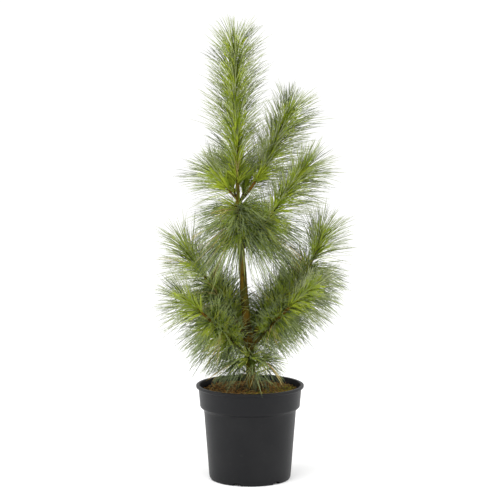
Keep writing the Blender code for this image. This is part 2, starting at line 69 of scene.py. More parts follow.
# %% [markdown]
# The camera comes first, because every later look is judged through it. The photograph was taken
# with a long lens, from just above the tree's top, looking down a little. A camera can be placed
# by eye, but the ellipses of the pot's rim and foot give its height, tilt and lens, so these were
# worked out. The distance, 3.5 m, is a choice that fits.
# %% The camera
LENS_MM = 145.43
SENSOR_MM = 36.0
CAMERA_PLACE = (0.0, -3.5, 0.8488)
CAMERA_TILT_DEG = 82.789

camera_data = bpy.data.cameras.new("camera")
camera_data.lens = LENS_MM
camera_data.sensor_width = SENSOR_MM
camera = bpy.data.objects.new("camera", camera_data)
camera.location = CAMERA_PLACE
camera.rotation_euler = (math.radians(CAMERA_TILT_DEG), 0.0, 0.0)
bpy.context.scene.collection.objects.link(camera)
bpy.context.scene.camera = camera
print("camera at", CAMERA_PLACE, "with a lens of", LENS_MM, "mm")

# %% [markdown]
# The photograph has a pure white background and hardly any shadow, as in a studio with white
# walls. A white world gives that even light. It is a little stronger than 1, so that the floor
# comes out as white as the background. The Standard view transform keeps colours as they are set,
# where a filmic one would grey them.
# %% The white surround
SURROUND_STRENGTH = 1.08

bpy.context.scene.view_settings.view_transform = "Standard"
world = bpy.data.worlds.new("white_surround")
world.use_nodes = True
surround = world.node_tree.nodes["Background"]
surround.inputs["Color"].default_value = (1.0, 1.0, 1.0, 1.0)
surround.inputs["Strength"].default_value = SURROUND_STRENGTH
bpy.context.scene.world = world
print("surround strength", SURROUND_STRENGTH)

# %% [markdown]
# Even light alone would flatten the tree. Square area lights act as soft boxes: one on each side
# draws the pale bands down the pot's edges, and one above gives the needles a light and a dark side.
# %% The soft boxes


def soft_box(name, place, turn, size, power):
    """A square area light at a place, turned by Euler angles in degrees, side in metres, power
    in watts."""
    light = bpy.data.lights.new(name, "AREA")
    light.size = size
    light.energy = power
    lamp = bpy.data.objects.new(name, light)
    lamp.location = place
    lamp.rotation_euler = [math.radians(angle) for angle in turn]
    bpy.context.scene.collection.objects.link(lamp)
    print(name, "at", place, "of", power, "W")


soft_box("left_box", (-1.6, -0.5, 0.9), (0.0, -78.0, 0.0), size=1.2, power=14.0)
soft_box("right_box", (1.6, -0.5, 0.9), (0.0, 78.0, 0.0), size=1.2, power=12.0)
soft_box("top_box", (-0.3, -0.9, 2.3), (22.0, -8.0, 0.0), size=1.0, power=20.0)

# %% [markdown]
# Every new piece is worked out as whole arrays of points and faces. Blender can take such arrays
# one vertex at a time, but foreach_set hands over a whole array at once, which is what makes a tree
# with hundreds of thousands of faces quick to build.
# %% A mesh from arrays


def add_mesh(name, points, faces, finishes, shades=None, smooth=True):
    """One object at the origin from arrays: points (n, 3) and a list of face arrays, all the
    faces of one array having as many corners. Each face starts where the corners before it end.
    shades gives each face the number of its finish."""
    mesh = bpy.data.meshes.new(name)
    corners = np.concatenate([part.ravel() for part in faces]).astype(np.int32)
    sizes = np.concatenate([np.full(len(part), part.shape[1]) for part in faces])
    starts = np.concatenate([[0], np.cumsum(sizes)[:-1]]).astype(np.int32)
    mesh.vertices.add(len(points))
    mesh.vertices.foreach_set("co", np.asarray(points, dtype=np.float32).ravel())
    mesh.loops.add(len(corners))
    mesh.loops.foreach_set("vertex_index", corners)
    mesh.polygons.add(len(sizes))
    mesh.polygons.foreach_set("loop_start", starts)
    if shades is not None:
        mesh.polygons.foreach_set("material_index", np.asarray(shades, dtype=np.int32))
    mesh.update(calc_edges=True)
    mesh.polygons.foreach_set("use_smooth", np.full(len(sizes), smooth))
    for finish in finishes:
        mesh.materials.append(finish)
    piece = bpy.data.objects.new(name, mesh)
    bpy.context.scene.collection.objects.link(piece)
    print(name, len(points), "points", int((sizes - 2).sum()), "triangles")
    return piece


def plain_finish(name, colour, roughness, specular):
    """A finish with one colour all over, set on the shader's own sockets."""
    finish = bpy.data.materials.new(name)
    finish.use_nodes = True
    shader = finish.node_tree.nodes["Principled BSDF"]
    shader.inputs["Base Color"].default_value = (*colour, 1.0)
    shader.inputs["Roughness"].default_value = roughness
    shader.inputs["Specular IOR Level"].default_value = specular
    return finish


# %% [markdown]
# The floor is the studio's white table. It is one large square, far wider than the picture, and it
# isn't part of the plant.
# %% The floor
FLOOR_REACH = 30.0
FLOOR_WHITE = (0.985, 0.985, 0.985)

floor_corners = FLOOR_REACH * np.array([(-1.0, -1.0, 0.0), (1.0, -1.0, 0.0),
                                        (1.0, 1.0, 0.0), (-1.0, 1.0, 0.0)])
floor = add_mesh("floor", floor_corners, [np.array([[0, 1, 2, 3]])],
                 [plain_finish("floor_white", FLOOR_WHITE, roughness=0.9, specular=0.0)], smooth=False)

# %% [markdown]
# Bark, compost and moulded plastic look different, but each is mottled: blotches of a second colour
# lie over a first one. Such blotches are a noise texture whose middle values are stretched to run
# from 0 to 1. Since three finishes need it, it is one node group, built once, which each finish
# places with a scale and limits of its own.
# %% A node group for blotches
BLOTCH_DETAIL = 6.0

blotches = bpy.data.node_groups.new("blotches", "ShaderNodeTree")
blotches.interface.new_socket("Vector", in_out="INPUT", socket_type="NodeSocketVector")
for socket in ("Scale", "Low", "High"):
    blotches.interface.new_socket(socket, in_out="INPUT", socket_type="NodeSocketFloat")
blotches.interface.new_socket("Mask", in_out="OUTPUT", socket_type="NodeSocketFloat")
blotch_inputs = blotches.nodes.new("NodeGroupInput").outputs
blotch_noise = blotches.nodes.new("ShaderNodeTexNoise")
blotch_noise.inputs["Detail"].default_value = BLOTCH_DETAIL
blotch_stretch = blotches.nodes.new("ShaderNodeMapRange")
blotch_output = blotches.nodes.new("NodeGroupOutput")
link = blotches.links.new
link(blotch_inputs["Vector"], blotch_noise.inputs["Vector"])
link(blotch_inputs["Scale"], blotch_noise.inputs["Scale"])
link(blotch_noise.outputs["Fac"], blotch_stretch.inputs["Value"])
link(blotch_inputs["Low"], blotch_stretch.inputs["From Min"])
link(blotch_inputs["High"], blotch_stretch.inputs["From Max"])
link(blotch_stretch.outputs["Result"], blotch_output.inputs["Mask"])
print("group", blotches.name, "has", len(blotches.nodes), "nodes")

# %% [markdown]
# A mottled finish lays one colour over another by such masks. The last mask also drives the
# roughness, so that the last colour's blotches shine differently, and one more mask, finer than the
# rest, lifts the surface as a bump. Object coordinates keep all of it in place on the piece.
# %% A mottled finish
BUMP_LIMITS = (0.25, 0.75)

# A layer is a colour and the blotches that it covers: their scale, and the noise's two limits.
Layer = namedtuple("Layer", "colour scale low high")


def add_blotches(tree, place, scale, low, high):
    """The mask of a blotches group in a finish: noise at a place, stretched from low..high to 0..1."""
    group = tree.nodes.new("ShaderNodeGroup")
    group.node_tree = blotches
    group.inputs["Scale"].default_value = scale
    group.inputs["Low"].default_value = low
    group.inputs["High"].default_value = high
    tree.links.new(place, group.inputs["Vector"])
    return group.outputs["Mask"]


def mottled_finish(name, ground, layers, roughness, relief, specular, stretch=(1.0, 1.0, 1.0)):
    """A finish of a ground colour with layers over it: each colour = mix(colour so far, layer, mask).
    Roughness runs between two values by the last mask, and relief is a bump's scale and depth in
    metres. Object coordinates are multiplied by stretch first."""
    finish = bpy.data.materials.new(name)
    finish.use_nodes = True
    tree = finish.node_tree
    link = tree.links.new
    shader = tree.nodes["Principled BSDF"]
    shader.inputs["Specular IOR Level"].default_value = specular
    coordinates = tree.nodes.new("ShaderNodeTexCoord")
    mapping = tree.nodes.new("ShaderNodeMapping")
    mapping.inputs["Scale"].default_value = stretch
    link(coordinates.outputs["Object"], mapping.inputs["Vector"])
    place = mapping.outputs["Vector"]
    below = None
    for layer in layers:
        mix = tree.nodes.new("ShaderNodeMix")
        mix.data_type = "RGBA"
        mask = add_blotches(tree, place, layer.scale, layer.low, layer.high)
        link(mask, mix.inputs["Factor"])
        mix.inputs["A"].default_value = (*ground, 1.0)
        mix.inputs["B"].default_value = (*layer.colour, 1.0)
        if below is not None:
            link(below, mix.inputs["A"])
        below = mix.outputs["Result"]
    link(below, shader.inputs["Base Color"])
    gloss = tree.nodes.new("ShaderNodeMapRange")
    gloss.inputs["To Min"].default_value = roughness[0]
    gloss.inputs["To Max"].default_value = roughness[1]
    link(mask, gloss.inputs["Value"])
    link(gloss.outputs["Result"], shader.inputs["Roughness"])
    bump = tree.nodes.new("ShaderNodeBump")
    bump.inputs["Strength"].default_value = 1.0
    bump.inputs["Distance"].default_value = relief[1]
    link(add_blotches(tree, place, relief[0], *BUMP_LIMITS), bump.inputs["Height"])
    link(bump.outputs["Normal"], shader.inputs["Normal"])
    print("finish", name, "has", len(layers), "layers over its ground colour")
    return finish


# %% [markdown]
# The trunk, the boughs, the pot and the soil are all one kind of surface: rings of points, joined
# by quads from ring to ring and closed at both ends. Blender's own tools could loft or spin them,
# but with the rings as an array, the roughness of bark or soil is added in the same step.
# %% Rings closed at both ends
UP = np.array((0.0, 0.0, 1.0))
FULL_TURN = 2.0 * math.pi


def unit(vectors):
    """The vectors, each divided by its length."""
    return vectors / np.linalg.norm(vectors, axis=-1, keepdims=True)


def ring_quads(rows, columns):
    """Quads between rings: each point, the next one round the ring, and the same two a ring on."""
    row = np.arange(rows - 1)[:, None] * columns
    column = np.arange(columns)
    after = (column + 1) % columns
    return np.stack([row + column, row + after, row + columns + after, row + columns + column],
                    axis=-1).reshape(-1, 4)


def close_rings(rings, ends):
    """Points and faces of rings (rows, columns, 3): quads between them, and a fan of triangles from
    each of two end points to the first and the last ring."""
    rows, columns = rings.shape[:2]
    ring = np.arange(columns)
    after = (ring + 1) % columns
    first_end = rows * columns
    last_ring = first_end - columns
    fans = [np.stack([np.full(columns, first_end), after, ring], axis=1),
            np.stack([np.full(columns, first_end + 1), last_ring + ring, last_ring + after], axis=1)]
    return np.vstack([rings.reshape(-1, 3), ends]), [ring_quads(rows, columns), np.concatenate(fans)]


print("three rings of four points have", len(ring_quads(3, 4)), "quads")

# %% [markdown]
# Bark and compost are uneven. Blender's noise textures live in materials, and this unevenness is
# put in the points instead, so that it is in the shape itself. Value noise is the simplest kind: a
# random number at each corner of a grid of cells, blended smoothly in between.
# %% Noise for the shapes
NOISE_TABLE = 4096
CORNER_HASH = np.array((73856093, 19349663, 83492791))


def value_noise(points, cell, seed):
    """Noise from 0 to 1: random values at the corners of cells, blended by 3t^2 - 2t^3."""
    table = np.random.default_rng(seed).random(NOISE_TABLE)
    base = np.floor(points / cell).astype(np.int64)
    local = points / cell - base
    blend = local * local * (3.0 - 2.0 * local)
    total = np.zeros(len(points))
    for corner in np.ndindex(2, 2, 2):
        index = (base + corner) @ CORNER_HASH & NOISE_TABLE - 1
        total += np.prod(np.where(corner, blend, 1.0 - blend), axis=1) * table[index]
    return total


print("noise at the origin", value_noise(np.zeros((1, 3)), cell=0.01, seed=1))

# %% [markdown]
# The trunk leans to the left and straightens as it climbs. It is widest where its roots begin,
# swells at two whorls where boughs leave it, and is thinner above the top whorl, where it is this
# year's leader. These are the formulas of its solid, so the dressed trunk stands where that does.
# %% The trunk's line and taper
SOIL_TOP = 0.160
TRUNK_FOOT_X = 0.005
TRUNK_LEAN = 0.104
UPRIGHT_RISE = 0.60
TRUNK_BOW = 0.004
LOW_WHORL, LOW_WHORL_SWELL, LOW_WHORL_SPREAD = 0.236, 0.0008, 0.016
TOP_WHORL, TOP_WHORL_SWELL, TOP_WHORL_SPREAD = 0.488, 0.0014, 0.007
ROOT_FLARE, ROOT_FLARE_RISE = 0.0035, 0.011
LEADER_TOP = 0.756
TRUNK_RADII = (0.0084, 0.0050, 0.0031, 0.0023)


def trunk_axis(height):
    """Centre of the trunk: x = foot - lean * rise * (1 - rise / twice the upright rise), and a bow
    to the back of half a sine wave."""
    rise = np.asarray(height, dtype=float) - SOIL_TOP
    lean = TRUNK_LEAN * rise * (1.0 - rise / (2.0 * UPRIGHT_RISE))
    bow = TRUNK_BOW * np.sin(math.pi * rise / UPRIGHT_RISE)
    return np.stack([TRUNK_FOOT_X - lean, bow, rise + SOIL_TOP], axis=-1)


def trunk_radius(height):
    """Radius of the trunk: a straight taper in three stretches, plus a root flare that dies away by
    e^-x, plus a bell-shaped swell e^-(x^2) at each whorl."""
    taper = np.interp(height, (SOIL_TOP, TOP_WHORL, TOP_WHORL + TOP_WHORL_SPREAD, LEADER_TOP), TRUNK_RADII)
    return (taper + ROOT_FLARE * np.exp((SOIL_TOP - height) / ROOT_FLARE_RISE)
            + LOW_WHORL_SWELL * np.exp(-((height - LOW_WHORL) / LOW_WHORL_SPREAD) ** 2)
            + TOP_WHORL_SWELL * np.exp(-((height - TOP_WHORL) / TOP_WHORL_SPREAD) ** 2))


print("trunk is", 2000.0 * float(trunk_radius(SOIL_TOP)), "mm thick at the soil")

# %% [markdown]
# Young pine bark is brown, with dark scales, orange flakes and, in the light, a green film. It is
# a mottled finish of those four colours. The blotches are stretched upwards, as bark splits along
# the stem. Bark is dull, so its specular level is close to none.
# %% Bark
bark = mottled_finish(
    "bark", (0.105, 0.063, 0.007),
    [Layer((0.028, 0.020, 0.005), 130.0, 0.49, 0.58),
     Layer((0.175, 0.095, 0.012), 60.0, 0.53, 0.66),
     Layer((0.075, 0.080, 0.014), 25.0, 0.50, 0.70)],
    roughness=(0.72, 0.90), relief=(500.0, 0.0004), specular=0.04, stretch=(1.0, 1.0, 0.45))

# %% [markdown]
# A stem is a ring carried along a line. At each point of the line the ring needs two directions
# square to it, which must not flip from one ring to the next. The bark's flakes are noise laid on
# the stem and drawn out along it, which pushes each point out or in.
# %% A stem with flaky bark
FLAKE, FINE_FLAKE = 0.0024, 0.0011
FINE_FLAKE_SHARE = 0.5
FLAKE_MEAN = 0.75
FLAKE_LENGTHENING = 0.35
NEARLY_ACROSS = 0.8


def side_vectors(axis):
    """At each point of a line: its direction, and two unit vectors square to it. One side vector is
    made square to every direction, and never flips, as no line here turns right round."""
    ahead = unit(np.gradient(axis, axis=0))
    across = (0.0, 1.0, 0.0) if abs(ahead[0][1]) < NEARLY_ACROSS else (1.0, 0.0, 0.0)
    side = unit(np.cross(ahead[0], across))
    first = unit(side - ahead * (ahead @ side)[:, None])
    return ahead, first, np.cross(ahead, first)


def stem(axis, radii, sides, flake_depth, seed):
    """Points and faces of a stem: point = axis + (radius + depth * noise) * spoke, for spokes evenly
    round each ring. The noise reads the distance along the stem shortened, so flakes are long."""
    ahead, first, second = side_vectors(axis)
    turn = np.linspace(0.0, FULL_TURN, sides, endpoint=False)
    spokes = np.cos(turn)[:, None] * first[:, None] + np.sin(turn)[:, None] * second[:, None]
    smooth = (axis[:, None] + radii[:, None, None] * spokes).reshape(-1, 3)
    along = np.cumsum(np.append(0.0, np.linalg.norm(np.diff(axis, axis=0), axis=1)))
    skin = np.stack([smooth[:, 0], smooth[:, 1], np.repeat(along, sides) * FLAKE_LENGTHENING], axis=1)
    flakes = (value_noise(skin, FLAKE, seed)
              + FINE_FLAKE_SHARE * value_noise(skin, FINE_FLAKE, seed + 1) - FLAKE_MEAN)
    points = smooth + (flake_depth * flakes)[:, None] * spokes.reshape(-1, 3)
    ends = np.stack([axis[0], axis[-1] + ahead[-1] * radii[-1]])
    return close_rings(points.reshape(len(axis), sides, 3), ends)


print("flakes of", 1000.0 * FLAKE, "and", 1000.0 * FINE_FLAKE, "mm")

# %% [markdown]
# The trunk's rings stand closer together near the soil, where the root flare turns quickly. Its
# flakes are deepest on the old wood at the foot and nearly gone on the leader. It stands clear of
# the soil's solid by the same small gap as its own solid does.
# %% The trunk
SOLIDS_GAP = 0.0003
TRUNK_SIDES = 40
FLARE_RINGS, FLARE_RING_RISE, FLARE_CROWDING = 50, 0.04, 1.5
SHAFT_RINGS, SHAFT_START = 430, 0.2015
FLAKE_HEIGHTS = (SOIL_TOP, 0.45, 0.50, 0.75)
FLAKE_DEPTHS = (0.0013, 0.0008, 0.0004, 0.0003)
TRUNK_SEED = 11

flare_heights = (SOIL_TOP + SOLIDS_GAP
                 + FLARE_RING_RISE * np.linspace(0.0, 1.0, FLARE_RINGS) ** FLARE_CROWDING)
heights = np.concatenate([flare_heights, np.linspace(SHAFT_START, LEADER_TOP, SHAFT_RINGS)])
flake_depths = np.repeat(np.interp(heights, FLAKE_HEIGHTS, FLAKE_DEPTHS), TRUNK_SIDES)
trunk = add_mesh("trunk_bark", *stem(trunk_axis(heights), trunk_radius(heights), TRUNK_SIDES,
                                     flake_depths, TRUNK_SEED), [bark])
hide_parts("trunk")
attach(trunk, "root")

# %% [markdown]
# The boughs leave the trunk at its whorls and climb outwards. Each is one line whose rise changes
# from foot to tip. The lines are those of the solids, chosen from the photograph, and the
# needles grow on stretches of them: old ones inside, fresh ones at the tips, and sparse low ones.
# %% The boughs' lines
# A bough is its foot's height on the trunk, azimuth, rises at foot, middle and tip in degrees,
# length, radii at foot and tip, and spans. A span is a stretch with needles: their kind, its start
# and end along the bough in metres, and the share of the kind's length that they reach.
Bough = namedtuple("Bough", "foot azimuth rises length radii spans")
Span = namedtuple("Span", "kind start end reach")

BOUGHS = {
    "top_right": Bough(0.488, 14, (46, 64, 66), 0.178, (0.0026, 0.0019), (Span("fresh", 0.040, 0.178, 1.0),)),
    "top_left": Bough(0.491, 172, (45, 54, 52), 0.060, (0.0021, 0.0016),
                      (Span("fresh", 0.018, 0.060, 0.95),)),
    "top_back": Bough(0.486, 58, (45, 55, 60), 0.060, (0.0020, 0.0016), (Span("fresh", 0.018, 0.060, 0.9),)),
    "top_back_left": Bough(0.485, 118, (48, 60, 62), 0.066, (0.0020, 0.0016),
                           (Span("fresh", 0.018, 0.066, 0.9),)),
    "middle_right": Bough(0.406, -12, (42, 58, 50), 0.181, (0.0028, 0.0019),
                          (Span("old", 0.020, 0.080, 1.1), Span("fresh", 0.080, 0.181, 0.95))),
    "left_upper": Bough(0.247, 160, (57, 50, 56), 0.192, (0.0030, 0.0020),
                        (Span("old", 0.040, 0.120, 1.05), Span("fresh", 0.128, 0.192, 1.0))),
    "left_lower": Bough(0.2145, 205, (44, 44, 36), 0.164, (0.0032, 0.0021),
                        (Span("old", 0.030, 0.104, 0.93), Span("fresh", 0.120, 0.164, 0.97))),
    "right_upper": Bough(0.245, 15, (50, 44, 76), 0.222, (0.0033, 0.0021),
                         (Span("old", 0.046, 0.174, 1.0), Span("fresh", 0.178, 0.222, 1.06))),
    "right_lower": Bough(0.229, -25, (47, 46, 38), 0.172, (0.0032, 0.0021),
                         (Span("old", 0.034, 0.096, 0.65), Span("fresh", 0.104, 0.172, 0.85))),
    "back_right": Bough(0.236, 55, (48, 42, 40), 0.142, (0.0026, 0.0019),
                        (Span("old", 0.034, 0.092, 0.9), Span("fresh", 0.086, 0.142, 1.0))),
    "back_left": Bough(0.236, 125, (48, 42, 40), 0.138, (0.0024, 0.0018),
                       (Span("old", 0.030, 0.098, 1.0), Span("fresh", 0.090, 0.138, 0.95))),
    "back": Bough(0.217, 92, (30, 25, 20), 0.092, (0.0022, 0.0018), (Span("old", 0.028, 0.092, 0.9),)),
    "foot_left": Bough(0.200, 232, (24, 16, 8), 0.050, (0.0021, 0.0017), (Span("low", 0.018, 0.050, 0.65),)),
    "foot_right": Bough(0.203, -58, (24, 16, 8), 0.050, (0.0021, 0.0017), (Span("low", 0.018, 0.050, 0.65),)),
    "foot_front": Bough(0.214, 268, (18, 10, 4), 0.052, (0.0021, 0.0017), (Span("low", 0.018, 0.052, 0.85),)),
}
BOUGH_STEPS = 60


def resample(path, at, places):
    """Points of a path read at other places along it, by straight lines between its points."""
    return np.stack([np.interp(at, places, path[:, axis]) for axis in range(3)], axis=1)


def bough_axis(bough):
    """Points along a bough: its rise is read between three angles, each step goes by the mean of the
    headings at its ends, and the steps are added up from the trunk's centre."""
    share = np.linspace(0.0, 1.0, BOUGH_STEPS)
    rise = np.radians(np.interp(share, (0.0, 0.5, 1.0), bough.rises))
    turn = math.radians(bough.azimuth)
    heading = np.stack([np.cos(rise) * math.cos(turn), np.cos(rise) * math.sin(turn), np.sin(rise)], axis=1)
    steps = 0.5 * (heading[1:] + heading[:-1]) * bough.length / (BOUGH_STEPS - 1.0)
    return trunk_axis(bough.foot) + np.vstack([np.zeros(3), np.cumsum(steps, axis=0)])


print(len(BOUGHS), "boughs, the longest of", max(bough.length for bough in BOUGHS.values()), "m")

# %% [markdown]
# All the boughs are one piece, because they share one finish and ride on one body. Each is a stem
# as the trunk is, with fewer sides, and its wood runs on through the needles to the tip.
# %% The boughs' bark
BOUGH_RINGS = 140
BOUGH_SIDES = 14
BOUGH_FLAKE_DEPTH = 0.0005
FIRST_BOUGH_SEED = 20

bough_points, bough_quads, bough_fans = [], [], []
first_point = 0
for number, bough in enumerate(BOUGHS.values()):
    steps = np.linspace(0.0, BOUGH_STEPS - 1.0, BOUGH_RINGS)
    axis = resample(bough_axis(bough), steps, np.arange(BOUGH_STEPS))
    points, (quads, fans) = stem(axis, np.linspace(*bough.radii, BOUGH_RINGS), BOUGH_SIDES,
                                 BOUGH_FLAKE_DEPTH, FIRST_BOUGH_SEED + number)
    bough_points.append(points)
    bough_quads.append(quads + first_point)
    bough_fans.append(fans + first_point)
    first_point += len(points)
bough_faces = [np.vstack(bough_quads), np.vstack(bough_fans)]
boughs = add_mesh("bough_bark", np.vstack(bough_points), bough_faces, [bark])
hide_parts(*[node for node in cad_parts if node.startswith("bough_")])
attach(boughs, "root")

# %% [markdown]
# A pine needle is a slim three-sided blade that bends a little and narrows to a point. Hair curves
# could draw needles, but the export needs real faces, and a picture of needles on a card fails in
# other views. Here each needle is a mesh of 13 points, and a whole shoot's needles are one array.
# %% Needles as arrays
RING_PLACES = np.array((0.0, 0.22, 0.52, 0.86))
RING_WIDTHS = np.array((0.85, 1.0, 0.95, 0.72))
RINGS, EDGES = len(RING_PLACES), 3
POINTS_A_NEEDLE = RINGS * EDGES + 1


def blades(roots, headings, bends, lengths, widths, twists):
    """Points (n, 13, 3) of needles: p(t) = root + length * (t * heading + t^2 * bend), with a
    three-cornered ring at four values of t and a point at t = 1. Its direction is p'(t)."""
    t = np.append(RING_PLACES, 1.0)[None, :, None]
    path = roots[:, None] + lengths[:, None, None] * (t * headings[:, None] + t * t * bends[:, None])
    ahead = unit(headings[:, None] + 2.0 * t * bends[:, None])
    side = unit(np.cross(headings, twists))[:, None]
    first = unit(side - ahead * (ahead * side).sum(axis=2, keepdims=True))
    second = np.cross(ahead, first)
    turn = np.radians((0.0, 120.0, 240.0))[None, None, :, None]
    half = widths[:, None, None, None] * RING_WIDTHS[None, :, None, None]
    spokes = np.cos(turn) * first[:, :RINGS, None] + np.sin(turn) * second[:, :RINGS, None]
    corners = path[:, :RINGS, None] + half * spokes
    return np.concatenate([corners.reshape(len(roots), RINGS * EDGES, 3), path[:, RINGS:]], axis=1)


def blade_faces(count, inner, outer):
    """Faces of that many needles: quads from ring to ring, three triangles to the tip and one that
    closes the root. Each face's shade is the inner one up to the third ring, the outer one beyond."""
    ring, corner = np.divmod(np.arange(EDGES * (RINGS - 1)), EDGES)
    after = (corner + 1) % EDGES
    quads = np.stack([EDGES * ring + corner, EDGES * ring + after,
                      EDGES * (ring + 1) + after, EDGES * (ring + 1) + corner], axis=1)
    ends = np.array([(9, 10, 12), (10, 11, 12), (11, 9, 12), (2, 1, 0)])
    start = (POINTS_A_NEEDLE * np.arange(count))[:, None, None]
    inner_quads = ring < RINGS - 2
    root_end = np.arange(len(ends)) == len(ends) - 1
    shades = [np.where(near_root, inner[:, None], outer[:, None]).ravel()
              for near_root in (inner_quads, root_end)]
    return [(quads + start).reshape(-1, 4), (ends + start).reshape(-1, 3)], np.concatenate(shades)


print("a needle has", POINTS_A_NEEDLE, "points")

# %% [markdown]
# Needles of different ages stand differently. Fresh ones lean forward along the shoot, most of
# all on its upper side. Old ones stand out and droop. Those under the top whorl hang round the
# trunk like a skirt. Each kind is a row of numbers, for the rule of the solids with more bundles.
# %% The kinds of needles
# A kind is the lean from the shoot in degrees and the sag as a share of the length, both at the
# start and end of a stretch, how much less the upper side leans, the curl outwards, the length and
# the pitch from bundle to bundle in metres, and how far a bundle's needles fray.
Kind = namedtuple("Kind", "lean sag lift curl length pitch fray")

KINDS = {
    "fresh": Kind((37.0, 29.0), (0.20, 0.14), 0.42, 0.10, 0.077, 0.00078, 0.105),
    "old": Kind((68.0, 56.0), (0.38, 0.28), 0.16, 0.0, 0.082, 0.00052, 0.135),
    "leader": Kind((39.0, 29.0), (0.17, 0.12), 0.0, 0.12, 0.077, 0.00080, 0.090),
    "skirt": Kind((96.0, 60.0), (0.80, 0.34), 0.0, 0.0, 0.088, 0.00025, 0.120),
    "foot": Kind((66.0, 46.0), (0.42, 0.30), 0.0, 0.0, 0.068, 0.00110, 0.180),
    "low": Kind((68.0, 56.0), (0.38, 0.28), 0.16, 0.0, 0.080, 0.00090, 0.150),
}
print(len(KINDS), "kinds of needles")

# %% [markdown]
# Real needles give way to the pot, the soil and the trunk. Bending each one round them would be
# slow, and there are so many that the few which would cut into something can simply be left out.
# So is a needle that would go well past the solids' box, which keeps the tree its size.
# %% Needles that have room
POT_MOUTH, POT_OUTSIDE = 0.0850, 0.0965
ABOVE_SOIL, ABOVE_LIP, BESIDE_POT = SOIL_TOP + 0.0015, 0.1700, 0.150
PAST_BOX = 0.003
TRUNK_CLEARANCE = 0.0005
FIRST_FREE_POINT = 4


def have_room(points):
    """Which needles (n, 13, 3) pass the solids' box by at most 3 mm, stay above the soil, the lip or a
    level beside the pot, whichever is under them, and outside the trunk beyond their root."""
    low, high = (np.array(corner) for corner in cad_box)
    in_box = np.all((points > low - PAST_BOX) & (points < high + PAST_BOX), axis=(1, 2))
    from_axis = np.hypot(points[..., 0], points[..., 1])
    ground = np.where(from_axis < POT_MOUTH, ABOVE_SOIL, ABOVE_LIP)
    ground = np.where(from_axis < POT_OUTSIDE, ground, BESIDE_POT)
    above = np.all(points[..., 2] > ground, axis=1)
    free = points[:, FIRST_FREE_POINT:]
    height = np.clip(free[..., 2], SOIL_TOP, LEADER_TOP)
    beside = np.linalg.norm(free - trunk_axis(height), axis=2) > trunk_radius(height) + TRUNK_CLEARANCE
    return in_box & above & np.all(beside | (free[..., 2] > LEADER_TOP), axis=1)


print("needles keep", 1000.0 * TRUNK_CLEARANCE, "mm from the trunk")

# %% [markdown]
# Needles leave the shoot in bundles of five, each bundle a golden angle on round the shoot from the
# last, which is how plants spread their leaves and how the solids place their sprays. The five of
# a bundle share a heading and fray from it, so that they read as strands and not as fur.
# %% Grow the needles of a shoot
GOLDEN_ANGLE = math.pi * (3.0 - math.sqrt(5.0))
NEEDLES_A_BUNDLE = 5
BARE_END = 0.002
TUFT_RUN, TUFT_CLOSING = 0.022, 0.6
TURN_SPREAD = 0.12
LEAN_SPREAD_DEG = 7.0
LENGTH_SPREAD, LENGTH_LIMITS = 0.07, (-1.6, 1.4)
BEND_SPREAD = 0.085
SHORTEST_LOSS = 0.16
NEEDLE_RADIUS = 0.00043
RADIUS_SPREAD, RADIUS_LIMITS = 0.15, (-1.5, 1.5)


def grow(axis, kind, reach, tuft, seed):
    """Needles of one shoot, the bundle of each, and the number of bundles. A bundle's heading is
    ahead * cos(lean) + outwards * sin(lean), its bend is curl * outwards - sag * up, and in a tuft
    the lean closes towards the tip. Each needle adds its own fray, bend, length and radius."""
    dice = np.random.default_rng(seed)
    run = np.linalg.norm(np.diff(axis, axis=0), axis=1).sum()
    count = int(run / kind.pitch)
    share = (np.arange(count) + 0.5) / count
    along = BARE_END + share * (run - 2.0 * BARE_END)
    places = np.linspace(0.0, run, len(axis))
    root, ahead, left, up = (resample(rows, along, places) for rows in (axis, *side_vectors(axis)))
    turn = np.arange(count) * GOLDEN_ANGLE + TURN_SPREAD * dice.normal(size=count)
    outwards = unit(left * np.cos(turn)[:, None] + up * np.sin(turn)[:, None])
    closing = 1.0 - TUFT_CLOSING * tuft * np.clip(1.0 - (run - along) / TUFT_RUN, 0.0, 1.0)
    lean = np.interp(share, (0.0, 1.0), kind.lean) * closing * (1.0 - kind.lift * outwards[:, 2])
    lean = np.radians(lean + LEAN_SPREAD_DEG * dice.normal(size=count))
    lengths = kind.length * reach * (1.0 + LENGTH_SPREAD * np.clip(dice.normal(size=count), *LENGTH_LIMITS))
    heading = ahead * np.cos(lean)[:, None] + outwards * np.sin(lean)[:, None]
    bend = kind.curl * outwards - np.interp(share, (0.0, 1.0), kind.sag)[:, None] * UP
    bundle = np.repeat(np.arange(count), NEEDLES_A_BUNDLE)
    n = len(bundle)
    headings = unit(heading[bundle] + kind.fray * dice.normal(size=(n, 3)))
    bends = bend[bundle] + BEND_SPREAD * dice.normal(size=(n, 3))
    lengths = lengths[bundle] * (1.0 - SHORTEST_LOSS * dice.random(n) ** 2)
    radii = NEEDLE_RADIUS * (1.0 + RADIUS_SPREAD * dice.normal(size=n).clip(*RADIUS_LIMITS))
    points = blades(root[bundle], headings, bends, lengths, radii, dice.normal(size=(n, 3)))
    kept = have_room(points)
    return points[kept], bundle[kept], count


print("golden angle", math.degrees(GOLDEN_ANGLE), "degrees")
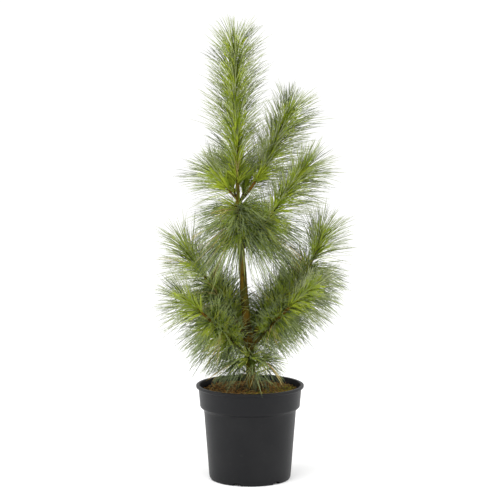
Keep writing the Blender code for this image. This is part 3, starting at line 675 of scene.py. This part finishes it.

# %% [markdown]
# Against the white background a needle is yellow-green near the shoot and greyer towards its tip,
# old needles are darker, and a few have dried to straw. A texture could vary one green, but plain
# colours dealt out by bundle look like real strands, light ones beside dark ones. A needle has two
# of them, an inner and an outer one.
# %% The needles' finishes
NEEDLE_SPECULAR = 0.15
NEEDLE_COLOURS = (
    ("needle_bright", (0.500, 0.600, 0.055), 0.50),
    ("needle_leaf_green", (0.320, 0.425, 0.032), 0.52),
    ("needle_olive", (0.130, 0.170, 0.015), 0.52),
    ("needle_tip_grey", (0.350, 0.385, 0.200), 0.50),
    ("needle_tip_green", (0.285, 0.345, 0.110), 0.50),
    ("needle_tip_dusk", (0.120, 0.145, 0.070), 0.50),
    ("needle_straw", (0.500, 0.400, 0.150), 0.60),
    ("old_green", (0.345, 0.450, 0.042), 0.52),
    ("old_dark", (0.062, 0.090, 0.010), 0.55),
    ("old_moss_green", (0.480, 0.530, 0.070), 0.52),
    ("old_tip_green", (0.295, 0.360, 0.120), 0.50),
    ("old_tip_blue", (0.225, 0.280, 0.120), 0.50),
    ("old_tip_dusk", (0.095, 0.120, 0.055), 0.50),
    ("old_straw", (0.500, 0.380, 0.140), 0.62),
)
SHADES_EACH = 3

# A mix is the number of its first shade, and the chances of three inner shades, of the three outer
# ones that follow them, and of a straw bundle.
Mix = namedtuple("Mix", "first inner outer straw")
FRESH_MIX = Mix(0, (0.42, 0.28, 0.30), (0.40, 0.32, 0.28), 0.003)
OLD_MIX = Mix(7, (0.38, 0.38, 0.24), (0.38, 0.30, 0.32), 0.012)
# The low needles at the foot, under the boughs, are dealt mostly the darkest shades: painted shade.
SHADED_LOW_MIX = Mix(7, (0.22, 0.66, 0.12), (0.26, 0.26, 0.48), 0.03)


def deal_shades(bundle, count, mix, seed):
    """The number of each needle's inner and outer shade, by its bundle: one of three by chance for
    each, or straw for both."""
    dice = np.random.default_rng(seed)
    inner = mix.first + dice.choice(SHADES_EACH, size=count, p=mix.inner)
    outer = mix.first + SHADES_EACH + dice.choice(SHADES_EACH, size=count, p=mix.outer)
    straw = dice.random(count) < mix.straw
    inner[straw] = outer[straw] = mix.first + 2 * SHADES_EACH
    return inner[bundle], outer[bundle]


needle_finishes = [plain_finish(*colour, NEEDLE_SPECULAR) for colour in NEEDLE_COLOURS]
print(len(needle_finishes), "finishes for needles")

# %% [markdown]
# Every mass of needles in the solids has a shoot here: a stretch of a bough, or of the trunk for
# the leader, the skirt and the needles at the foot. A mass is named as its solid is.
# %% The shoots
# A shoot is a line with needles: its points, their kind, the share of the kind's length that they
# reach, and whether they close to a tuft at its end.
Shoot = namedtuple("Shoot", "axis kind reach tuft")

LEADER_START, LEADER_STEPS = 0.515, 60
SKIRT_HEIGHTS, FOOT_HEIGHTS, TRUNK_STEPS = (0.420, 0.482), (0.172, 0.189), 20
SPAN_STEPS = 40

leader_line = trunk_axis(np.linspace(LEADER_START, LEADER_TOP, LEADER_STEPS))
skirt_line = trunk_axis(np.linspace(*SKIRT_HEIGHTS, TRUNK_STEPS))
foot_line = trunk_axis(np.linspace(*FOOT_HEIGHTS, TRUNK_STEPS))
shoots = {"needles_leader": Shoot(leader_line, "leader", 1.0, True),
          "needles_trunk_skirt": Shoot(skirt_line, "skirt", 1.0, False),
          "needles_trunk_foot": Shoot(foot_line, "foot", 1.0, False)}
for name, bough in BOUGHS.items():
    places = np.linspace(0.0, bough.length, BOUGH_STEPS)
    for span in bough.spans:
        part = resample(bough_axis(bough), np.linspace(span.start, span.end, SPAN_STEPS), places)
        mass = f"needles_{name}_{span.kind}" if len(bough.spans) > 1 else f"needles_{name}"
        shoots[mass] = Shoot(part, span.kind, span.reach, span is bough.spans[-1])
print(len(shoots), "shoots with needles")

# %% [markdown]
# Each shoot could be an object of its own. Joined by region, fresh and old apart, the tree is six
# pieces instead of twenty-five.
# %% The needles
REGIONS = {
    "leader_needles": ("needles_leader",),
    "crown_needles": ("needles_top_right", "needles_top_left", "needles_top_back",
                      "needles_top_back_left", "needles_middle_right_fresh"),
    "skirt_needles": ("needles_trunk_skirt", "needles_middle_right_old"),
    "side_tip_needles": tuple(mass for mass in shoots if mass.endswith("_fresh")
                              and mass != "needles_middle_right_fresh"),
    "left_old_needles": ("needles_left_upper_old", "needles_left_lower_old", "needles_back_left_old",
                         "needles_foot_left", "needles_foot_front"),
    "right_old_needles": ("needles_right_upper_old", "needles_right_lower_old",
                          "needles_back_right_old", "needles_back", "needles_foot_right",
                          "needles_trunk_foot"),
}
MIX_OF_KIND = {"fresh": FRESH_MIX, "leader": FRESH_MIX, "old": OLD_MIX, "skirt": OLD_MIX,
               "foot": SHADED_LOW_MIX, "low": SHADED_LOW_MIX}


def dress_mass(mass):
    """The needles of one mass with their inner and outer shades. The seed is the sum of the letters
    of its name, so that it always grows the same."""
    shoot = shoots[mass]
    seed = sum(map(ord, mass))
    points, bundle, count = grow(shoot.axis, KINDS[shoot.kind], shoot.reach, shoot.tuft, seed)
    return points, *deal_shades(bundle, count, MIX_OF_KIND[shoot.kind], seed)


for region, names in REGIONS.items():
    points, inner, outer = (np.concatenate(part) for part in zip(*map(dress_mass, names)))
    faces, shades = blade_faces(len(points), inner, outer)
    piece = add_mesh(region, points.reshape(-1, 3), faces, needle_finishes, shades)
    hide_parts(*names)
    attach(piece, "root")

# %% [markdown]
# The pot is thin plastic, moulded in one: a lip, a deep collar, a shoulder and a body that narrows
# to a foot. Such a turned body is a profile carried round an axis. Moulded corners are never sharp,
# so each corner of the profile is cut back and filled with a short curve before it is turned.
# %% The pot's profile
POT_CORNERS = [  # radius and height of each corner, from the middle of the underside
    (0.0, 0.0), (0.0706, 0.0), (0.0722, 0.006),  # underside and foot
    (0.0812, 0.1215), (0.0822, 0.1245),  # top of the body
    (0.0880, 0.1290), (0.0884, 0.1345),  # shoulder
    (0.0907, 0.1620), (0.0950, 0.1630),  # collar, and under the lip
    (0.0950, 0.1672), (0.0934, 0.1680), (0.0890, 0.1680),  # lip
    (0.0864, 0.1320), (0.0798, 0.1240), (0.0689, 0.0025), (0.0, 0.0025),  # inside and floor
]
CORNER_CUT = 0.0022
CORNER_POINTS = 5
CUT_LIMIT = 0.4
POT_SIDES = 144


def soften(profile, cut, steps):
    """The profile with each inner corner cut back on both sides, by at most a share of the side, and
    filled by the quadratic curve (1-t)^2 start + 2t(1-t) corner + t^2 end."""
    corners = np.array(profile)
    rounded = [corners[:1]]
    t = np.linspace(0.0, 1.0, steps)[:, None]
    for before, corner, after in zip(corners[:-2], corners[1:-1], corners[2:]):
        shorter_side = min(np.linalg.norm(before - corner), np.linalg.norm(after - corner))
        back = min(cut, CUT_LIMIT * shorter_side)
        start = corner + unit(before - corner) * back
        end = corner + unit(after - corner) * back
        rounded.append((1.0 - t) ** 2 * start + 2.0 * t * (1.0 - t) * corner + t * t * end)
    return np.vstack(rounded + [corners[-1:]])


def level_ring(radius, height, turn):
    """Rings about the upright axis: (radius cos(turn), radius sin(turn), height)."""
    x, y = radius * np.cos(turn), radius * np.sin(turn)
    return np.stack([x, y, height + np.zeros_like(x)], axis=-1)


pot_profile = soften(POT_CORNERS, CORNER_CUT, CORNER_POINTS)
print("profile of", len(pot_profile), "points, widest", 2000.0 * pot_profile[:, 0].max(), "mm")

# %% [markdown]
# The plastic is a matt charcoal, a shade uneven where dust and handling have dulled it. Under
# studio light most of what shows is its soft reflection of the white walls, so the colour itself
# is nearly black and the specular level is low. The bump is fine, as a moulded skin is.
# %% The pot
pot_plastic = mottled_finish(
    "pot_plastic", (0.0052, 0.0054, 0.0064),
    [Layer((0.0085, 0.0086, 0.0094), 18.0, 0.45, 0.75),
     Layer((0.0260, 0.0250, 0.0235), 260.0, 0.66, 0.80)],
    roughness=(0.44, 0.58), relief=(900.0, 0.00012), specular=0.18)
pot_turn = np.linspace(0.0, FULL_TURN, POT_SIDES, endpoint=False)
pot_rings = level_ring(pot_profile[1:-1, :1], pot_profile[1:-1, 1:], pot_turn)
pot_ends = [(0.0, 0.0, height) for height in pot_profile[[0, -1], 1]]
pot = add_mesh("pot_shell", *close_rings(pot_rings, pot_ends), [pot_plastic])

# %% [markdown]
# Six low arches through the edge of the foot let water out. A Boolean modifier cuts them, because
# cutting the profile's rings by hand would leave ragged faces. Its cutter is one mesh of six short
# tunnels, and its result is kept as the pot's mesh, so nothing is left live.
# %% The drain arches
DRAIN_COUNT = 6
DRAIN_AZIMUTH = 251.0
DRAIN_HALF_WIDTH, DRAIN_HEIGHT, BELOW_FOOT = 0.008, 0.0055, 0.001
DRAIN_RADII = (0.058, 0.0760)
ARCH_STEP_DEG = 15.0
SHARP_EDGE_DEG = 40.0

arch_turn = np.radians(np.arange(0.0, 181.0, ARCH_STEP_DEG))
arch = np.array([(DRAIN_HALF_WIDTH, -BELOW_FOOT),
                 *[(DRAIN_HALF_WIDTH * math.cos(turn), DRAIN_HEIGHT * math.sin(turn)) for turn in arch_turn],
                 (-DRAIN_HALF_WIDTH, -BELOW_FOOT)])
arch_corners = np.arange(len(arch))
tunnel_points, tunnel_sides, tunnel_ends = [], [], []
for hole in range(DRAIN_COUNT):
    turn = math.radians(DRAIN_AZIMUTH + 360.0 / DRAIN_COUNT * hole)
    out = np.array((math.cos(turn), math.sin(turn), 0.0))
    across = np.array((-math.sin(turn), math.cos(turn), 0.0))
    start = 2 * len(arch) * hole
    tunnel_points += [out * radius + arch[:, :1] * across + arch[:, 1:] * UP for radius in DRAIN_RADII]
    tunnel_sides.append(ring_quads(2, len(arch)) + start)
    tunnel_ends.append(np.stack([arch_corners[::-1], arch_corners + len(arch)]) + start)
cutter = add_mesh("drain_cutter", np.vstack(tunnel_points), [np.vstack(tunnel_sides), np.vstack(tunnel_ends)],
                  [], smooth=False)
carve = pot.modifiers.new("drains", "BOOLEAN")
carve.operation = "DIFFERENCE"
carve.object = cutter
carve.solver = "EXACT"
carved = bpy.data.meshes.new_from_object(pot.evaluated_get(bpy.context.evaluated_depsgraph_get()))
pot.modifiers.clear()
pot.data = carved
bpy.data.objects.remove(cutter)
carved.set_sharp_from_angle(angle=math.radians(SHARP_EDGE_DEG))
print("pot with drain arches has", len(carved.polygons), "faces")
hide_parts("pot")
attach(pot, "root")

# %% [markdown]
# The soil is crumbly brown compost that fills the pot from its floor. Only its top shows, so only
# the top is fine: rings close together, lifted by noise and banked up round the trunk, which
# then stands in it. Below, the same rings run down just inside the pot's wall and close the body.
# %% The soil's shape
SOIL_SIDES = 200
SOIL_RINGS, SOIL_FIRST_RADIUS, SOIL_RADIUS, SOIL_EDGE_RADIUS = 64, 0.0015, 0.0860, 0.0861
DOME_TOP, DOME_DROP, DOME_RADIUS = 0.1588, 0.0022, 0.086
HEAP_HEIGHT, HEAP_RADIUS = 0.0034, 0.018
LUMP, CRUMB, CRUMB_SHARE, LUMP_MEAN, LUMP_HEIGHT = 0.009, 0.0035, 0.55, 0.8, 0.0024
LUMP_SEED, CRUMB_SEED = 41, 42
SOIL_WALL = ((0.0862, 0.1500), (0.0860, 0.1320), (0.0795, 0.1240), (0.0686, 0.0030))


def soil_height(x, y):
    """Height of the soil: a dome that falls with the square of the radius, plus a bell-shaped heap
    round the trunk, plus lumps and crumbs of noise about their mean."""
    flat = np.stack([x, y, np.zeros_like(x)], axis=-1).reshape(-1, 3)
    lumps = (value_noise(flat, LUMP, LUMP_SEED)
             + CRUMB_SHARE * value_noise(flat, CRUMB, CRUMB_SEED) - LUMP_MEAN)
    dome = DOME_TOP - DOME_DROP * (np.hypot(x, y) / DOME_RADIUS) ** 2
    heap = HEAP_HEIGHT * np.exp(-((x - TRUNK_FOOT_X) ** 2 + y * y) / HEAP_RADIUS ** 2)
    return dome + heap + LUMP_HEIGHT * lumps.reshape(np.shape(x))


soil_turn = np.linspace(0.0, FULL_TURN, SOIL_SIDES, endpoint=False)
soil_radii = np.append(np.linspace(SOIL_FIRST_RADIUS, SOIL_RADIUS, SOIL_RINGS), SOIL_EDGE_RADIUS)
soil_top = level_ring(soil_radii[:, None], 0.0, soil_turn)
soil_top[..., 2] = soil_height(soil_top[..., 0], soil_top[..., 1])
soil_wall = np.stack([level_ring(radius, height, soil_turn) for radius, height in SOIL_WALL])
soil_rings = np.concatenate([soil_top, soil_wall])[::-1]
soil_ends = [(0.0, 0.0, SOIL_WALL[-1][1]), (0.0, 0.0, float(soil_top[0, :, 2].mean()))]
print("soil from", soil_top[..., 2].min(), "to", soil_top[..., 2].max(), "m")

# %% [markdown]
# Compost is a mix of brown peat, dark wet crumbs and lighter wood fibre, so its finish is mottled
# in three browns with a coarse bump and little gloss. Down the wall, inside the pot, it is painted
# nearly black as shade, which is what shows through the drain arches.
# %% The soil
compost = mottled_finish(
    "compost", (0.150, 0.093, 0.024),
    [Layer((0.042, 0.027, 0.010), 120.0, 0.47, 0.62),
     Layer((0.210, 0.125, 0.036), 240.0, 0.54, 0.66)],
    roughness=(0.85, 0.97), relief=(450.0, 0.0012), specular=0.15)
# A nearly black finish: painted shade for the compost inside the pot.
shaded_compost = plain_finish("shaded_compost", (0.012, 0.009, 0.006), roughness=0.9, specular=0.1)
soil_points, soil_faces = close_rings(soil_rings, soil_ends)
# The wall quads and the bottom fan take the dark finish, painted shade inside the pot.
soil_shades = [np.arange(len(soil_faces[0])) < SOIL_SIDES * len(SOIL_WALL),
               np.arange(len(soil_faces[1])) < SOIL_SIDES]
soil = add_mesh("soil_bed", soil_points, soil_faces, [compost, shaded_compost], np.concatenate(soil_shades))
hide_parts("soil")
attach(soil, "root")

# %% [markdown]
# On the compost lie fibres of bark and straw, and moss grows at the front and on the right. Each
# fibre or moss leaf is a sliver of the needle's shape, only shorter. Fibres lie nearly flat, and
# moss stands up. Close to the trunk most of the fibres are dark.
# %% Fibres and moss
LITTER_ROUGHNESS, LITTER_SPECULAR = 0.8, 0.2
LITTER_COLOURS = (
    ("fibre_orange", (0.330, 0.165, 0.036)),
    ("fibre_brown", (0.135, 0.085, 0.024)),
    ("fibre_dark", (0.035, 0.023, 0.011)),
    ("straw_pale", (0.400, 0.310, 0.130)),
    ("moss_green", (0.190, 0.190, 0.022)),
    ("moss_bright", (0.300, 0.290, 0.034)),
)
FIBRE_DARK = 2
FIBRE_CHANCES = (0.42, 0.30, 0.20, 0.08)
MOSS_SHADES, MOSS_CHANCES = (4, 5), (0.55, 0.45)
LITTER_REACH, LITTER_EDGE = 0.0845, 0.0858
TRUNK_SHADE_RADIUS, TRUNK_SHADE_CHANCE = 0.030, 0.7
FIBRES_KEPT_OFF_MOSS = 0.6
SLIVER_BEND, SLIVER_BEND_AXES = 0.25, (1.0, 1.0, 0.3)
SLIVER_RADII = (0.00030, 0.00062)

# A kind of litter is how many slivers are tried, the shortest and longest, their mean rise and its
# spread in degrees, the root's height over the soil, whether it is moss, and a seed.
Litter = namedtuple("Litter", "count lengths rise root_height moss seed")
FIBRES = Litter(4600, (0.003, 0.011), (4.0, 14.0), 0.0006, False, 61)
MOSS = Litter(2600, (0.0025, 0.006), (62.0, 20.0), -0.0004, True, 62)
MOSS_PLACES = (  # middle, reach to the sides and to the front, and share, of each mossy place
    ((0.022, -0.060), (0.030, 0.032), 1.0),
    ((0.068, -0.010), (0.020, 0.035), 0.8),
)


def moss_cover(x, y):
    """How mossy the soil is: the sum over the mossy places of share * e^-(u^2 + v^2), where u and v
    are the distances from the middle, each divided by its reach."""
    return sum(share * np.exp(-((x - middle[0]) / reach[0]) ** 2 - ((y - middle[1]) / reach[1]) ** 2)
               for middle, reach, share in MOSS_PLACES)


def strew(litter):
    """Slivers and their shades: places spread evenly by area (radius = reach * sqrt(chance)), kept by
    the moss there, with a random azimuth, a rise about the mean, and a slight bend."""
    dice = np.random.default_rng(litter.seed)
    radius = LITTER_REACH * np.sqrt(dice.random(litter.count))
    turn = FULL_TURN * dice.random(litter.count)
    x, y = radius * np.cos(turn), radius * np.sin(turn)
    moss = moss_cover(x, y)
    kept = dice.random(litter.count) < (moss if litter.moss else 1.0 - FIBRES_KEPT_OFF_MOSS * moss)
    x, y = x[kept], y[kept]
    n = len(x)
    way = FULL_TURN * dice.random(n)
    rise = np.radians(dice.normal(size=n) * litter.rise[1] + litter.rise[0])
    heading = np.stack([np.cos(rise) * np.cos(way), np.cos(rise) * np.sin(way), np.sin(rise)], axis=1)
    root = np.stack([x, y, soil_height(x, y) + litter.root_height], axis=1)
    lengths = dice.uniform(*litter.lengths, size=n)
    bends = SLIVER_BEND * dice.normal(size=(n, 3)) * SLIVER_BEND_AXES
    radii = dice.uniform(*SLIVER_RADII, size=n)
    points = blades(root, heading, bends, lengths, radii, dice.normal(size=(n, 3)))
    inside = np.all(np.hypot(points[..., 0], points[..., 1]) < LITTER_EDGE, axis=1)
    if litter.moss:
        shade = dice.choice(MOSS_SHADES, size=n, p=MOSS_CHANCES)
    else:
        # Fibres near the trunk are dealt the darkest brown: painted shade under the tree.
        dark = (np.hypot(x - TRUNK_FOOT_X, y) < TRUNK_SHADE_RADIUS) & (dice.random(n) < TRUNK_SHADE_CHANCE)
        shade = np.where(dark, FIBRE_DARK, dice.choice(len(FIBRE_CHANCES), size=n, p=FIBRE_CHANCES))
    return points[inside], shade[inside]


litter_finishes = [plain_finish(*colour, LITTER_ROUGHNESS, LITTER_SPECULAR) for colour in LITTER_COLOURS]
litter_points, litter_shade = (np.concatenate(part) for part in zip(strew(FIBRES), strew(MOSS)))
litter_faces, shades = blade_faces(len(litter_points), litter_shade, litter_shade)
mulch = add_mesh("mulch_and_moss", litter_points.reshape(-1, 3), litter_faces, litter_finishes, shades)
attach(mulch, "root")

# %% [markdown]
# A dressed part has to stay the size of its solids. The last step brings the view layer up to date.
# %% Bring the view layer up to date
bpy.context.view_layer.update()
